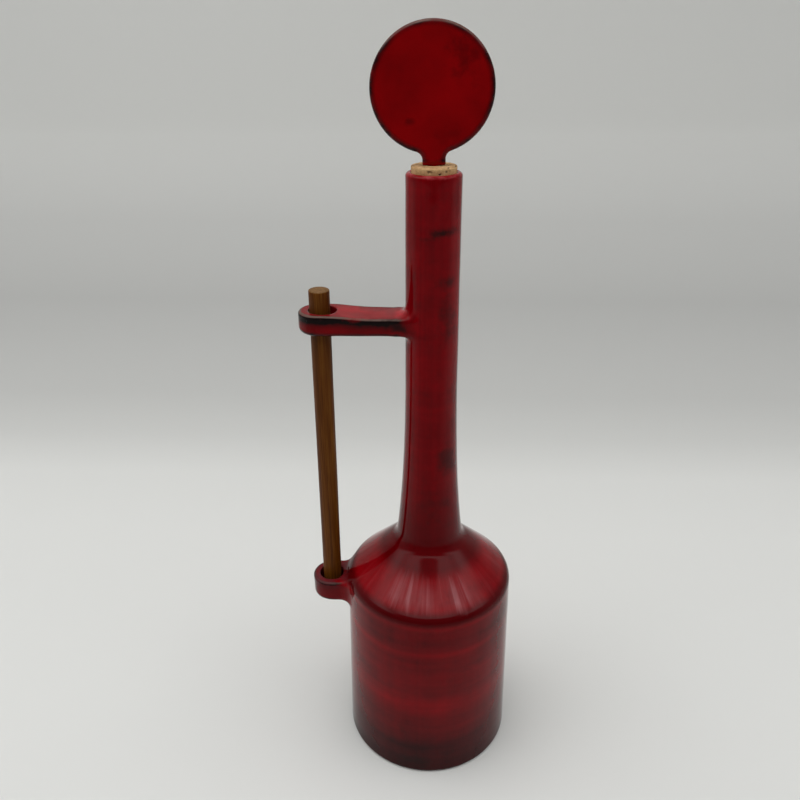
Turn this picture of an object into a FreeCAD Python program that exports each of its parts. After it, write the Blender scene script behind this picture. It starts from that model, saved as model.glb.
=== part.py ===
import FreeCAD, Part
import math
import os

# Ceramic bottle with a side handle, a wooden grip, a cork and a disc stopper.
# Millimetres. +Z is up and is the axis of the bottle, and the origin is the centre of its base.
# The handle points to -X. The broad face of the stopper looks to -Y.

# ---- body: a thrown cylinder that narrows a little from the foot to the shoulder ----
foot_radius = 51.8
shoulder_radius = 50.0
shoulder_height = 121.6
foot_round = 2.2
shoulder_round = 7.6
body_wall = 4.5
base_wall = 6.0
floor_round = 9.0

# ---- neck: a curved flare from the shoulder cone to the waist, then nearly straight ----
cone_rise = 28.2
neck_length = 213.0
neck_root_radius = 19.9
neck_root_round = 12.3
flare_rise = 40.2
neck_waist_radius = 14.3
waist_drop = 17.7
neck_wall = 3.5
lip_wall = 2.7
lip_round = 2.0

# ---- cork: a tapered plug that stands a little proud of the mouth ----
cork_top_radius = 11.4
cork_taper = 0.9
cork_length = 27.5
cork_proud = 3.0
cork_round = 0.5
cork_clearance = 0.1

# ---- disc stopper: a slab-cut disc on a short stem, with a round peg set in the cork ----
disc_radius = 29.3
disc_thickness = 7.0
disc_rim_round = 2.2
stem_height = 5.2
stem_width = 11.3
stem_flare = 3.9
stopper_lean = 2.2
stopper_setback = 0.8
peg_radius = 2.8
peg_floor = 7.5
peg_clearance = 0.1

# ---- grip: a straight dowel that stands in the socket and leans in both holes ----
dowel_radius = 5.6
dowel_chamfer = 0.6
dowel_proud = 11.1
dowel_side_gap = 0.2
dowel_floor_gap = 0.2
dowel_top_bearing = 212.0
dowel_foot_bearing = 95.0

# ---- lower lug: a short block under the shoulder, with a blind socket for the grip ----
lug_drop = 4.4
lug_thickness = 14.5
lug_floor = 4.4
lug_hole_play = 1.7
lug_hole_standoff = 10.7
lug_end_wall = 4.6
lug_side_wall = 4.9
lug_root_width = 23.6
lug_top_round = 1.4
lug_bottom_round = 3.4
lug_root_round = 3.0

# ---- upper arm: a slab that reaches out from the neck, with a through hole for the grip ----
arm_drop = 71.1
arm_thickness = 12.0
arm_hole_play = 1.8
arm_hole_inset = 2.7
arm_end_wall = 5.8
arm_side_wall = 3.9
arm_root_inset = 3.6
arm_waist_drop = 1.6
arm_waist_reach = 30.0
arm_top_round = 1.2
arm_bottom_round = 3.0
arm_root_round = 3.0

# How far a cutter or a buried end runs past the surface that it meets.
overlap = 1.5

UP = FreeCAD.Vector(0, 0, 1)
BACK = FreeCAD.Vector(0, 1, 0)
ORIGIN = FreeCAD.Vector(0, 0, 0)

# Heights up the bottle: the shoulder carries the lug and the cone, the mouth carries the arm and cork.
NECK_ROOT = shoulder_height + cone_rise
MOUTH = NECK_ROOT + neck_length
LUG_TOP = shoulder_height - lug_drop
LUG_BOTTOM = LUG_TOP - lug_thickness
ARM_TOP = MOUTH - arm_drop
ARM_BOTTOM = ARM_TOP - arm_thickness
NECK_WAIST = ARM_BOTTOM - waist_drop
CORK_TOP = MOUTH + cork_proud
CORK_FOOT = CORK_TOP - cork_length
SOCKET_FLOOR = LUG_BOTTOM + lug_floor

# The grip's holes clear the dowel, stand off the wall, and have clay left all round them.
LUG_HOLE_RADIUS = dowel_radius + lug_hole_play
LUG_HOLE_REACH = shoulder_radius + lug_hole_standoff
LUG_END_WIDTH = 2 * (LUG_HOLE_RADIUS + lug_side_wall)
LUG_REACH = LUG_HOLE_REACH + LUG_HOLE_RADIUS + lug_end_wall
ARM_HOLE_RADIUS = dowel_radius + arm_hole_play
ARM_HOLE_REACH = LUG_HOLE_REACH - arm_hole_inset
ARM_END_WIDTH = 2 * (ARM_HOLE_RADIUS + arm_side_wall)
ARM_REACH = ARM_HOLE_REACH + ARM_HOLE_RADIUS + arm_end_wall
ARM_ROOT_WIDTH = 2 * (neck_waist_radius - arm_root_inset)

PEG_LENGTH = cork_length - peg_floor
DISC_RISE = disc_radius + stem_height


def at(x, height, y=0):
    """A point of an outline drawn in the XZ plane, or beside it."""
    return FreeCAD.Vector(x, y, height)


def spline(points):
    """A smooth curve through points."""
    curve = Part.BSplineCurve()
    curve.interpolate(Points=points)
    return curve.toShape()


def flare(root, waist, above):
    """A curve that starts at the neck's root and runs into the straight line above its waist."""
    share = (waist.z - root.z - flare_rise) / (above.z - waist.z)
    curve = Part.BezierCurve()
    curve.setPoles([root, waist - (above - waist) * share, waist])
    return curve.toShape()


def arc(start, middle, end):
    """A round stretch through three points."""
    return Part.Arc(start, middle, end).toShape()


# ------------------------------------------------------------------ turned forms

def turned(edges):
    """The solid that a closed outline sweeps in one full turn about the bottle's axis."""
    return Part.Face(Part.Wire(edges)).revolve(ORIGIN, UP, 360)


def ring_edges(solid, corner):
    """The circular edges of a turned solid that pass through one corner of its outline."""
    found = []
    for edge in solid.Edges:
        box = edge.BoundBox
        level = box.ZLength < 1e-4 and abs(box.ZMin - corner.z) < 1e-3
        if level and abs(box.XMax - corner.x) < 1e-2:
            found.append(edge)
    return found


def rounded(solid, corners):
    """A turned solid with its corner rings rounded: each corner has its own radius."""
    for corner, size in corners:
        solid = solid.makeFillet(size, ring_edges(solid, corner)).Solids[0]
    return solid


def outer_form():
    """The bottle's outside: foot, wall, shoulder cone, neck and lip."""
    foot = at(foot_radius, 0)
    shoulder = at(shoulder_radius, shoulder_height)
    root = at(neck_root_radius, NECK_ROOT)
    waist = at(neck_waist_radius, NECK_WAIST)
    lip = at(cork_radius(MOUTH) + cork_clearance + lip_wall, MOUTH)
    solid = turned([
        Part.makeLine(ORIGIN, foot),
        Part.makeLine(foot, shoulder),
        Part.makeLine(shoulder, root),
        flare(root, waist, lip),
        Part.makeLine(waist, lip),
        Part.makeLine(lip, at(0, MOUTH)),
        Part.makeLine(at(0, MOUTH), ORIGIN),
    ])
    return rounded(solid, [
        (foot, foot_round),
        (shoulder, shoulder_round),
        (root, neck_root_round),
        (lip, lip_round),
    ])


def wall_radius(height):
    """Radius of the body's outer wall at a height above the base."""
    return foot_radius + (shoulder_radius - foot_radius) * height / shoulder_height


def cork_radius(height):
    """Radius of the tapered cork at a height above the base."""
    return cork_top_radius - cork_taper * (CORK_TOP - height) / cork_length


def inside_cone_point(radius):
    """The point of the shoulder's inner face at a radius, one wall inside the outer cone."""
    outer_corner = at(shoulder_radius, shoulder_height)
    slope = at(neck_root_radius, NECK_ROOT) - outer_corner
    slope.normalize()
    on_face = outer_corner + FreeCAD.Vector(-slope.z, 0, slope.x) * body_wall
    return at(radius, on_face.z + (radius - on_face.x) * slope.z / slope.x)


def inner_form():
    """The hollow: floor, wall, shoulder and neck bore, up to the cork's seat and the mouth."""
    floor = at(foot_radius - body_wall, base_wall)
    shoulder = inside_cone_point(shoulder_radius - body_wall)
    root = inside_cone_point(neck_root_radius - neck_wall)
    seat_foot = at(cork_radius(CORK_FOOT) + cork_clearance, CORK_FOOT)
    mouth = at(cork_radius(MOUTH) + cork_clearance, MOUTH)
    waist = at(neck_waist_radius - neck_wall, NECK_WAIST)
    solid = turned([
        Part.makeLine(at(0, base_wall), floor),
        Part.makeLine(floor, shoulder),
        Part.makeLine(shoulder, root),
        flare(root, waist, seat_foot),
        Part.makeLine(waist, seat_foot),
        Part.makeLine(seat_foot, mouth),
        Part.makeLine(mouth, at(0, MOUTH)),
        Part.makeLine(at(0, MOUTH), at(0, base_wall)),
    ])
    return rounded(solid, [
        (floor, floor_round),
        (shoulder, shoulder_round - body_wall / 2),
        (root, neck_root_round - neck_wall / 2),
    ])


# ------------------------------------------------------------------ handle slabs

def buried_reach(skin_radius, root_width):
    """How far from the axis a slab starts, so that both its root corners lie inside the wall."""
    return math.sqrt(skin_radius ** 2 - (root_width / 2) ** 2) - overlap


def plan_block(reach, end_width, root_width, root_reach, low, high):
    """A slab as seen from above: straight tapering sides and a round end."""
    end = end_width / 2
    root = root_width / 2
    centre = end - reach
    outline = Part.Wire([
        Part.makeLine(at(-root_reach, low, -root), at(centre, low, -end)),
        arc(at(centre, low, -end), at(-reach, low, 0), at(centre, low, end)),
        Part.makeLine(at(centre, low, end), at(-root_reach, low, root)),
        Part.makeLine(at(-root_reach, low, root), at(-root_reach, low, -root)),
    ])
    return Part.Face(outline).extrude(UP * (high - low))


def side_block(top_edge, bottom, width):
    """A slab as seen from the side: a given top line over a flat underside."""
    root_top = top_edge.Vertexes[0].Point
    end_top = top_edge.Vertexes[-1].Point
    root_foot = at(root_top.x, bottom, root_top.y)
    end_foot = at(end_top.x, bottom, end_top.y)
    outline = Part.Wire([
        top_edge,
        Part.makeLine(end_top, end_foot),
        Part.makeLine(end_foot, root_foot),
        Part.makeLine(root_foot, root_top),
    ])
    return Part.Face(outline).extrude(BACK * width)


def long_edges(slab, root_reach, upper):
    """The edges round a slab's top or underside, without those at its buried root."""
    middle = slab.BoundBox.Center.z
    found = []
    for edge in slab.Edges:
        box = edge.BoundBox
        on_side = box.ZMin > middle if upper else box.ZMax < middle
        if on_side and box.XMin < -root_reach - 1e-3:
            found.append(edge)
    return found


def rounded_slab(plan, side, root_reach, top_round, bottom_round):
    """A slab cut from its plan and its side view, with its long edges rounded."""
    slab = plan.common(side).Solids[0]
    slab = slab.makeFillet(top_round, long_edges(slab, root_reach, True)).Solids[0]
    return slab.makeFillet(bottom_round, long_edges(slab, root_reach, False)).Solids[0]


def upper_arm():
    """The arm on the neck: its top dips from the thick round end to a thinner waist."""
    root_reach = buried_reach(neck_waist_radius, ARM_ROOT_WIDTH)
    side_y = -ARM_END_WIDTH
    waist_top = ARM_TOP - arm_waist_drop
    top = spline([
        at(-root_reach, waist_top, side_y),
        at(-arm_waist_reach, waist_top, side_y),
        at(-ARM_HOLE_REACH, ARM_TOP, side_y),
        at(-ARM_REACH - overlap, ARM_TOP, side_y),
    ])
    plan = plan_block(
        ARM_REACH, ARM_END_WIDTH, ARM_ROOT_WIDTH, root_reach, ARM_BOTTOM - overlap, ARM_TOP + overlap
    )
    side = side_block(top, ARM_BOTTOM, 2 * ARM_END_WIDTH)
    return rounded_slab(plan, side, root_reach, arm_top_round, arm_bottom_round)


def lower_lug():
    """The lug under the shoulder: level on top and underneath."""
    root_reach = buried_reach(min(wall_radius(LUG_TOP), wall_radius(LUG_BOTTOM)), lug_root_width)
    side_y = -LUG_END_WIDTH
    top = Part.makeLine(at(-root_reach, LUG_TOP, side_y), at(-LUG_REACH - overlap, LUG_TOP, side_y))
    plan = plan_block(
        LUG_REACH, LUG_END_WIDTH, lug_root_width, root_reach, LUG_BOTTOM - overlap, LUG_TOP + overlap
    )
    side = side_block(top, LUG_BOTTOM, 2 * LUG_END_WIDTH)
    return rounded_slab(plan, side, root_reach, lug_top_round, lug_bottom_round)


def seam_edges(solid, skin, low, high):
    """The edges where a slab meets the turned skin, between two heights on the handle's side."""
    found = []
    for edge in solid.Edges:
        box = edge.BoundBox
        if box.ZMin < low or box.ZMax > high or box.XMax > 0:
            continue
        middle = edge.valueAt((edge.FirstParameter + edge.LastParameter) / 2)
        if Part.Vertex(middle).distToShape(skin)[0] < 1e-3:
            found.append(edge)
    return found


def blend_root(solid, skin, low, high, size):
    """A soft fillet all round the root of one slab."""
    seam = seam_edges(solid, skin, low - overlap, high + overlap)
    return solid.makeFillet(size, seam).Solids[0]


def upright_hole(reach, radius, low, high):
    """A round upright cutter for one of the grip's holes."""
    return Part.makeCylinder(radius, high - low, at(-reach, low))


# ------------------------------------------------------------------ the four pieces

def bottle():
    """The ceramic body in one piece: turned wall, arm, lug, the grip's holes and the hollow."""
    form = outer_form()
    skin = Part.Shell(form.Faces)
    solid = form.fuse([upper_arm(), lower_lug()]).removeSplitter().Solids[0]
    solid = blend_root(solid, skin, ARM_BOTTOM, ARM_TOP, arm_root_round)
    solid = blend_root(solid, skin, LUG_BOTTOM, LUG_TOP, lug_root_round)
    arm_hole = upright_hole(ARM_HOLE_REACH, ARM_HOLE_RADIUS, ARM_BOTTOM - overlap, ARM_TOP + overlap)
    socket = upright_hole(LUG_HOLE_REACH, LUG_HOLE_RADIUS, SOCKET_FLOOR, LUG_TOP + overlap)
    return solid.cut([inner_form(), arm_hole, socket]).Solids[0]


def bearing_point(reach, hole_radius, bearing, height):
    """Where the dowel's axis passes when its side lies against a hole's wall at one bearing."""
    shift = hole_radius - dowel_radius - dowel_side_gap
    angle = math.radians(bearing)
    return at(-reach + shift * math.cos(angle), height, shift * math.sin(angle))


def handle_dowel():
    """The wooden grip: a round rod from the socket's floor to a short end above the arm."""
    foot_height = SOCKET_FLOOR + dowel_floor_gap
    foot = bearing_point(LUG_HOLE_REACH, LUG_HOLE_RADIUS, dowel_foot_bearing, foot_height)
    rest = bearing_point(ARM_HOLE_REACH, ARM_HOLE_RADIUS, dowel_top_bearing, ARM_TOP)
    axis = rest - foot
    length = axis.Length * (ARM_TOP + dowel_proud - foot_height) / axis.z
    rod = Part.makeCylinder(dowel_radius, length, foot, axis)
    rims = [edge for edge in rod.Edges if edge.Closed]
    return rod.makeChamfer(dowel_chamfer, rims).Solids[0]


def lean_placement():
    """Carries the stopper from its own upright frame to its leaning place on the cork."""
    seat = at(0, CORK_TOP, stopper_setback)
    return FreeCAD.Placement(seat, FreeCAD.Rotation(BACK, -stopper_lean))


def peg(radius, length):
    """The stopper's peg, or the hole for it, from just inside the stem down into the cork."""
    rod = Part.makeCylinder(radius, length + overlap, at(0, -length))
    rod.Placement = lean_placement()
    return rod


def cork():
    """The cork: tapered, with softened ends and a hole for the stopper's peg."""
    plug = Part.makeCone(cork_radius(CORK_FOOT), cork_top_radius, cork_length, at(0, CORK_FOOT))
    rims = [edge for edge in plug.Edges if edge.BoundBox.ZLength < 1e-4]
    plug = plug.makeFillet(cork_round, rims).Solids[0]
    hole = peg(peg_radius + peg_clearance, PEG_LENGTH + peg_clearance)
    return plug.cut(hole).Solids[0]


def stopper_plate():
    """The disc and its stem in one flat plate, upright, with the rim rounded all round."""
    half_stem = stem_width / 2
    flare_x = half_stem + stem_flare
    flare_z = DISC_RISE - math.sqrt((disc_radius + stem_flare) ** 2 - flare_x ** 2)
    share = disc_radius / (disc_radius + stem_flare)
    meet_x = flare_x * share
    meet_z = DISC_RISE + (flare_z - DISC_RISE) * share
    turn = math.atan2(meet_z - flare_z, meet_x - flare_x)
    half_turn = (turn + math.pi) / 2
    mid_x = flare_x + stem_flare * math.cos(half_turn)
    mid_z = flare_z + stem_flare * math.sin(half_turn)
    front = -disc_thickness / 2
    outline = Part.Wire([
        Part.makeLine(at(-half_stem, -overlap, front), at(-half_stem, flare_z, front)),
        arc(at(-half_stem, flare_z, front), at(-mid_x, mid_z, front), at(-meet_x, meet_z, front)),
        arc(
            at(-meet_x, meet_z, front),
            at(0, DISC_RISE + disc_radius, front),
            at(meet_x, meet_z, front),
        ),
        arc(at(meet_x, meet_z, front), at(mid_x, mid_z, front), at(half_stem, flare_z, front)),
        Part.makeLine(at(half_stem, flare_z, front), at(half_stem, -overlap, front)),
        Part.makeLine(at(half_stem, -overlap, front), at(-half_stem, -overlap, front)),
    ])
    plate = Part.Face(outline).extrude(BACK * disc_thickness)
    rim = []
    for edge in plate.Edges:
        box = edge.BoundBox
        on_face = box.YLength < 1e-4
        if on_face and box.ZMax > 0:
            rim.append(edge)
    return plate.makeFillet(disc_rim_round, rim).Solids[0]


def stopper_disc():
    """The ceramic stopper: it leans a little, and its stem sits flat on the cork."""
    plate = stopper_plate()
    plate.Placement = lean_placement()
    below = Part.makeBox(
        2 * stem_width, 2 * stem_width, overlap * 2, at(-stem_width, CORK_TOP - 2 * overlap, -stem_width)
    )
    return plate.cut(below).fuse(peg(peg_radius, PEG_LENGTH)).removeSplitter().Solids[0]


PIECES = {
    "bottle": bottle,
    "handle_dowel": handle_dowel,
    "cork": cork,
    "stopper_disc": stopper_disc,
}

os.makedirs("parts", exist_ok=True)
for name, make in PIECES.items():
    shape = make()
    shape.exportStep("parts/" + name + ".step")
    print(name, "valid", shape.isValid(), "volume cm3", round(shape.Volume / 1000, 2))
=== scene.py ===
import bpy, bmesh
from math import atan2, cos, hypot, pi, radians, sin, sqrt
import numpy as np
from mathutils import Euler, Matrix, Vector, noise
from mathutils.bvhtree import BVHTree


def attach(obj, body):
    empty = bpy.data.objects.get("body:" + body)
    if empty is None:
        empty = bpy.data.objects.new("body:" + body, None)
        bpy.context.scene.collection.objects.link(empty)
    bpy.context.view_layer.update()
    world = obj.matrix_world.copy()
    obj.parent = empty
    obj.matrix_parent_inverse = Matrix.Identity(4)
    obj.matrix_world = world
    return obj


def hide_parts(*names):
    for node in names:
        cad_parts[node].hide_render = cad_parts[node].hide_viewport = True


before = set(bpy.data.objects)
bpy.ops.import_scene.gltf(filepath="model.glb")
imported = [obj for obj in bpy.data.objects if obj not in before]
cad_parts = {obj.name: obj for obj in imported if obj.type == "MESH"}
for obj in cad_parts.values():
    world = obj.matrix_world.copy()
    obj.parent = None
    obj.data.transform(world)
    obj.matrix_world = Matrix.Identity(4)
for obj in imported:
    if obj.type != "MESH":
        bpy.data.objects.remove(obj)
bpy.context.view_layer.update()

# Ceramic bottle with a side handle, a wooden grip, a cork and a disc stopper.
# Metres. The bottle stands on the floor with its axis on Z, its handle to -X and its front to -Y.

MM = 0.001
root_body = "root"

# ---- the turned body and neck ----
foot_radius = 51.8 * MM
shoulder_radius = 50.0 * MM
shoulder_height = 121.6 * MM
foot_round = 2.2 * MM
shoulder_round = 7.6 * MM
neck_root_radius = 19.9 * MM
neck_root_height = 149.8 * MM
neck_root_round = 12.3 * MM
neck_flare_height = 190.0 * MM
neck_waist_radius = 14.3 * MM
neck_waist_height = 262.0 * MM
mouth_radius = 14.1 * MM
mouth_height = 362.8 * MM
lip_round = 2.0 * MM
bore_radius = 11.4 * MM
bore_depth = 30.0 * MM
inner_lip_round = 0.5 * MM

# ---- the arm, the lug and their holes ----
arm_reach = 71.2 * MM
arm_end_width = 22.6 * MM
arm_root_width = 21.4 * MM
arm_top = 291.7 * MM
arm_bottom = 279.7 * MM
arm_waist_drop = 1.6 * MM
arm_waist_reach = 30.0 * MM
arm_hole_reach = 58.0 * MM
arm_hole_radius = 7.4 * MM
arm_rim_rounds = (1.7 * MM, 3.0 * MM)  # upper rim, lower rim
arm_root_spread = 5.0 * MM
lug_reach = 72.6 * MM
lug_end_width = 24.4 * MM
lug_root_width = 23.6 * MM
lug_top = 117.2 * MM
lug_bottom = 102.7 * MM
lug_hole_reach = 60.7 * MM
lug_hole_radius = 7.3 * MM
lug_floor = 4.4 * MM
lug_rim_rounds = (1.8 * MM, 3.4 * MM)
lug_root_spread = 7.0 * MM
slab_sink = 1.5 * MM  # how far a slab starts inside the wall
between_slabs = 0.2  # a height above the lug and below the arm

# ---- the loose pieces ----
cork_top = 365.8 * MM
cork_top_radius = 11.4 * MM
cork_bottom_radius = 10.5 * MM
cork_length = 27.5 * MM
cork_rim_round = 0.6 * MM
peg_radius = 2.8 * MM
peg_length = 20.0 * MM
peg_hole_radius = 2.9 * MM
peg_hole_depth = 20.2 * MM
disc_radius = 29.3 * MM
disc_rise = 34.5 * MM
disc_thickness = 7.0 * MM
disc_rim_round = 2.2 * MM
stem_width = 11.3 * MM
stopper_lean = radians(2.2)
stopper_setback = 0.8 * MM
dowel_radius = 5.6 * MM
dowel_side_gap = 0.2 * MM
dowel_foot_gap = 0.2 * MM
dowel_proud = 11.1 * MM
dowel_foot_bearing = 95.0  # degrees round each hole to the wall that the dowel rests on
dowel_rest_bearing = 212.0
dowel_chamfer = 0.6 * MM

# ---- how finely things are modelled, and how uneven the clay is ----
hair = 0.1 * MM  # how near a point must be to a place to count as there
nearly_half = 0.4995
tool_overrun = 2 * MM  # how far a cutting rod stands out of what it cuts
ring_spacing = 1.7 * MM
neck_curve_steps = 48
turned_sides = 168
slab_strip = 4 * MM
slab_cell = 0.6 * MM
distance_cell = 0.5 * MM
disc_cell = 0.6 * MM
cork_cell = 0.4 * MM
dowel_strip = 2 * MM
projection_steps = 4
root_passes = 16
band_passes = 110
ridge_depth = 0.10 * MM
slab_waver = 0.45 * MM
slab_waver_size = 11 * MM
skin_reach = 1.5 * MM  # points deeper in the clay than this are left alone
collar_depth = 0.6 * MM
collar_lift = 0.04 * MM
rim_waver = 0.06 * MM
stem_flare = 3.9 * MM
pore_depth = 0.5 * MM
dowel_waver = 0.05 * MM


# ---- modelling helpers ----

def clear_selection():
    if bpy.context.object and bpy.context.object.mode != "OBJECT":
        bpy.ops.object.mode_set(mode="OBJECT")
    bpy.ops.object.select_all(action="DESELECT")


def make_active(piece):
    clear_selection()
    piece.select_set(True)
    bpy.context.view_layer.objects.active = piece


def start_edit(piece, kind="VERT"):
    """Opens a piece for editing with nothing selected and hands back its bmesh."""
    make_active(piece)
    bpy.ops.object.mode_set(mode="EDIT")
    bpy.ops.mesh.select_mode(type=kind)
    bpy.ops.mesh.select_all(action="DESELECT")
    return bmesh.from_edit_mesh(piece.data)


def select_mesh():
    bpy.ops.mesh.select_all(action="SELECT")


def end_edit(piece):
    bmesh.update_edit_mesh(piece.data)
    bpy.ops.object.mode_set(mode="OBJECT")


def settle(piece):
    """Moves a piece's place, turn and size into its mesh."""
    make_active(piece)
    bpy.ops.object.transform_apply(location=True, rotation=True, scale=True)


def apply_modifier(piece, kind, **values):
    make_active(piece)
    modifier = piece.modifiers.new(kind.title(), kind)
    for name, value in values.items():
        setattr(modifier, name, value)
    bpy.ops.object.modifier_apply(modifier=modifier.name)


def even_out(piece, cell, passes):
    """Remeshes a piece to an even grain and smooths the steps that this leaves."""
    apply_modifier(piece, "REMESH", mode="VOXEL", voxel_size=cell)
    apply_modifier(piece, "SMOOTH", factor=0.5, iterations=passes)


def bevel_edges(piece, size, steps, chosen):
    """Bevels the edges of a piece that a test picks."""
    work = start_edit(piece, "EDGE")
    for edge in work.edges:
        edge.select = chosen(edge)
    bmesh.update_edit_mesh(piece.data)
    bpy.ops.mesh.bevel(offset_type="OFFSET", offset=size, segments=steps, affect="EDGES")
    end_edit(piece)


def at_end_rim(edge):
    """Whether an edge lies level, as round the ends of an upright rod."""
    return abs(edge.verts[0].co.z - edge.verts[1].co.z) < hair


def combine(piece, tool, operation):
    """Joins, cuts or trims a piece with another, which is used up."""
    apply_modifier(piece, "BOOLEAN", object=tool, operation=operation, solver="EXACT")
    bpy.data.objects.remove(tool, do_unlink=True)


def copy_of(piece, name):
    twin = piece.copy()
    twin.data = piece.data.copy()
    twin.name = name
    bpy.context.collection.objects.link(twin)
    return twin


def heal(piece, span=0.01 * MM):
    """Merges doubled points and turns every face outwards."""
    start_edit(piece)
    select_mesh()
    bpy.ops.mesh.remove_doubles(threshold=span)
    bpy.ops.mesh.normals_make_consistent(inside=False)
    end_edit(piece)


def shade_soft(piece):
    make_active(piece)
    bpy.ops.object.shade_smooth()


def just_made(name):
    """Names the newest piece and settles it."""
    made = bpy.context.object
    made.name = name
    settle(made)
    return made


def block(name, low, high):
    """A box from its lowest and highest corners."""
    clear_selection()
    low, high = Vector(low), Vector(high)
    bpy.ops.mesh.primitive_cube_add(size=1, location=(low + high) / 2, scale=high - low)
    return just_made(name)


def rod(name, radius, low, high, place=(0, 0), sides=96):
    """An upright cylinder between two heights."""
    clear_selection()
    bpy.ops.mesh.primitive_cylinder_add(
        vertices=sides, radius=radius, depth=high - low, location=(*place, (low + high) / 2)
    )
    return just_made(name)


# ---- the turned form ----

def round_corner(before, corner, after, radius, steps):
    """Points of the arc that softens one corner of an outline."""
    before, corner, after = Vector(before), Vector(corner), Vector(after)
    incoming = (corner - before).normalized()
    outgoing = (after - corner).normalized()
    half = incoming.angle(outgoing) / 2
    start = corner - incoming * radius * sin(half) / cos(half)
    side = 1 if incoming.cross(outgoing) > 0 else -1
    centre = start + Vector((-incoming.y, incoming.x)) * radius * side
    points = []
    for step in range(steps + 1):
        turn = side * 2 * half * step / steps
        arm = start - centre
        points.append(centre + Vector((
            arm.x * cos(turn) - arm.y * sin(turn), arm.x * sin(turn) + arm.y * cos(turn)
        )))
    return points


def flare_points(steps):
    """The curve of the neck from its root to its waist, which ends in line with the upper neck."""
    rise = neck_waist_height - neck_flare_height
    lean = (mouth_radius - neck_waist_radius) / (mouth_height - neck_waist_height)
    root = Vector((neck_root_radius, neck_root_height))
    pole = Vector((neck_waist_radius - lean * rise, neck_flare_height))
    waist = Vector((neck_waist_radius, neck_waist_height))
    points = []
    for step in range(1, steps + 1):
        t = step / steps
        points.append(root * (1 - t) ** 2 + pole * 2 * t * (1 - t) + waist * t ** 2)
    return points


def outline_points():
    """The bottle's outline from the middle of its base to the floor of its mouth."""
    foot = (foot_radius, 0)
    shoulder = (shoulder_radius, shoulder_height)
    root = (neck_root_radius, neck_root_height)
    lip = (mouth_radius, mouth_height)
    inner_lip = (bore_radius, mouth_height)
    curve = flare_points(neck_curve_steps)
    points = [Vector((0, 0))]
    points += round_corner((0, 0), foot, shoulder, foot_round, 8)
    points += round_corner(foot, shoulder, root, shoulder_round, 14)
    neck_root = round_corner(shoulder, root, curve[6], neck_root_round, 16)
    above_root = neck_root[-1].y + 1.5 * MM
    points += neck_root + [point for point in curve if point.y > above_root]
    points += round_corner(curve[-1], lip, inner_lip, lip_round, 8)
    points += round_corner(lip, inner_lip, (bore_radius, 0), inner_lip_round, 4)
    floor = mouth_height - bore_depth
    points += [Vector((bore_radius, floor)), Vector((0, floor))]
    dense = [points[0]]
    for point in points[1:]:
        gap = (point - dense[-1]).length
        cuts = max(1, int(gap / ring_spacing))
        start = dense[-1]
        for cut in range(1, cuts + 1):
            dense.append(start.lerp(point, cut / cuts))
    return dense


def noise_round(bearing, width, height):
    """Smooth noise from -1 to 1 on a cylinder."""
    return noise.noise(Vector((width * cos(bearing), width * sin(bearing), height)))


def throwing_wave(height, bearing):
    """How far the wheel's faint ridges draw the wall in, at a height and a bearing."""
    slow = noise_round(bearing, 0.35, height / (21 * MM))
    fine = noise_round(bearing, 0.9, height / (6 * MM))
    return (slow * 0.75 + fine * 0.25) * ridge_depth


def turned_form(outline):
    """The clay skin: its outline is drawn point by point and spun round the axis."""
    clear_selection()
    bpy.ops.mesh.primitive_plane_add(size=1 * MM, location=(0, 0, 0))
    form = bpy.context.object
    form.name = "bottle_glazed"
    work = start_edit(form)
    bmesh.ops.delete(work, geom=list(work.verts)[1:], context="VERTS")
    work.verts.ensure_lookup_table()
    work.verts[0].co = (outline[0].x, 0, outline[0].y)
    work.verts[0].select = True
    bmesh.update_edit_mesh(form.data)
    for before, after in zip(outline, outline[1:]):
        step = (after.x - before.x, 0, after.y - before.y)
        bpy.ops.mesh.extrude_region_move(TRANSFORM_OT_translate={"value": step})
    select_mesh()
    bpy.ops.mesh.spin(steps=turned_sides, angle=2 * pi, center=(0, 0, 0), axis=(0, 0, 1))
    end_edit(form)
    heal(form)
    return form


def press_ridges(form):
    """Adds the wheel's ridges and the slight unevenness of a hand-thrown wall."""
    bore_edge, bore_fade = 1 * MM, 1.5 * MM
    foot_fade, lip_fade = 6 * MM, 8 * MM
    work = start_edit(form)
    for point in work.verts:
        radius = hypot(point.co.x, point.co.y)
        calm = min(1.0, max(0.0, (radius - bore_radius - bore_edge) / bore_fade))
        near_foot = min(1.0, point.co.z / foot_fade)
        near_lip = min(1.0, max(0.0, (mouth_height - point.co.z) / lip_fade))
        if radius > 0:
            wave = throwing_wave(point.co.z, atan2(point.co.y, point.co.x)) - ridge_depth
            draw = wave * calm * near_foot * near_lip
            point.co.x *= 1 + draw / radius
            point.co.y *= 1 + draw / radius
    end_edit(form)


# ---- the slabs of the handle ----

def smooth_step(low, high, value):
    share = min(1.0, max(0.0, (value - low) / (high - low)))
    return share * share * (3 - 2 * share)


def slab_from_block(name, reach, width, root_width, root_reach, low, high, dip, rounds):
    """A block with a round end, a tapered root, a top that dips to the root, and soft rims."""
    slab = block(name, (-reach, -width / 2, low), (-root_reach, width / 2, high))
    round_end(slab, reach, width)

    work = start_edit(slab)
    for point in work.verts:
        point.select = point.co.x > -root_reach - hair
    bmesh.update_edit_mesh(slab.data)
    taper = (1, root_width / width, 1)
    bpy.ops.transform.resize(value=taper, center_override=(-root_reach, 0, low))
    cut = -root_reach - slab_strip
    while cut > -reach + width / 2:
        select_mesh()
        bpy.ops.mesh.bisect(plane_co=(cut, 0, 0), plane_no=(1, 0, 0))
        cut -= slab_strip
    work = bmesh.from_edit_mesh(slab.data)
    for point in work.verts:
        if point.co.z > high - hair:
            point.co.z -= dip * (1 - smooth_step(arm_waist_reach, arm_hole_reach, -point.co.x))
    end_edit(slab)

    for side, size in zip((1, -1), rounds):
        round_rim(slab, side, size, root_reach)
    heal(slab)
    return slab


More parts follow.
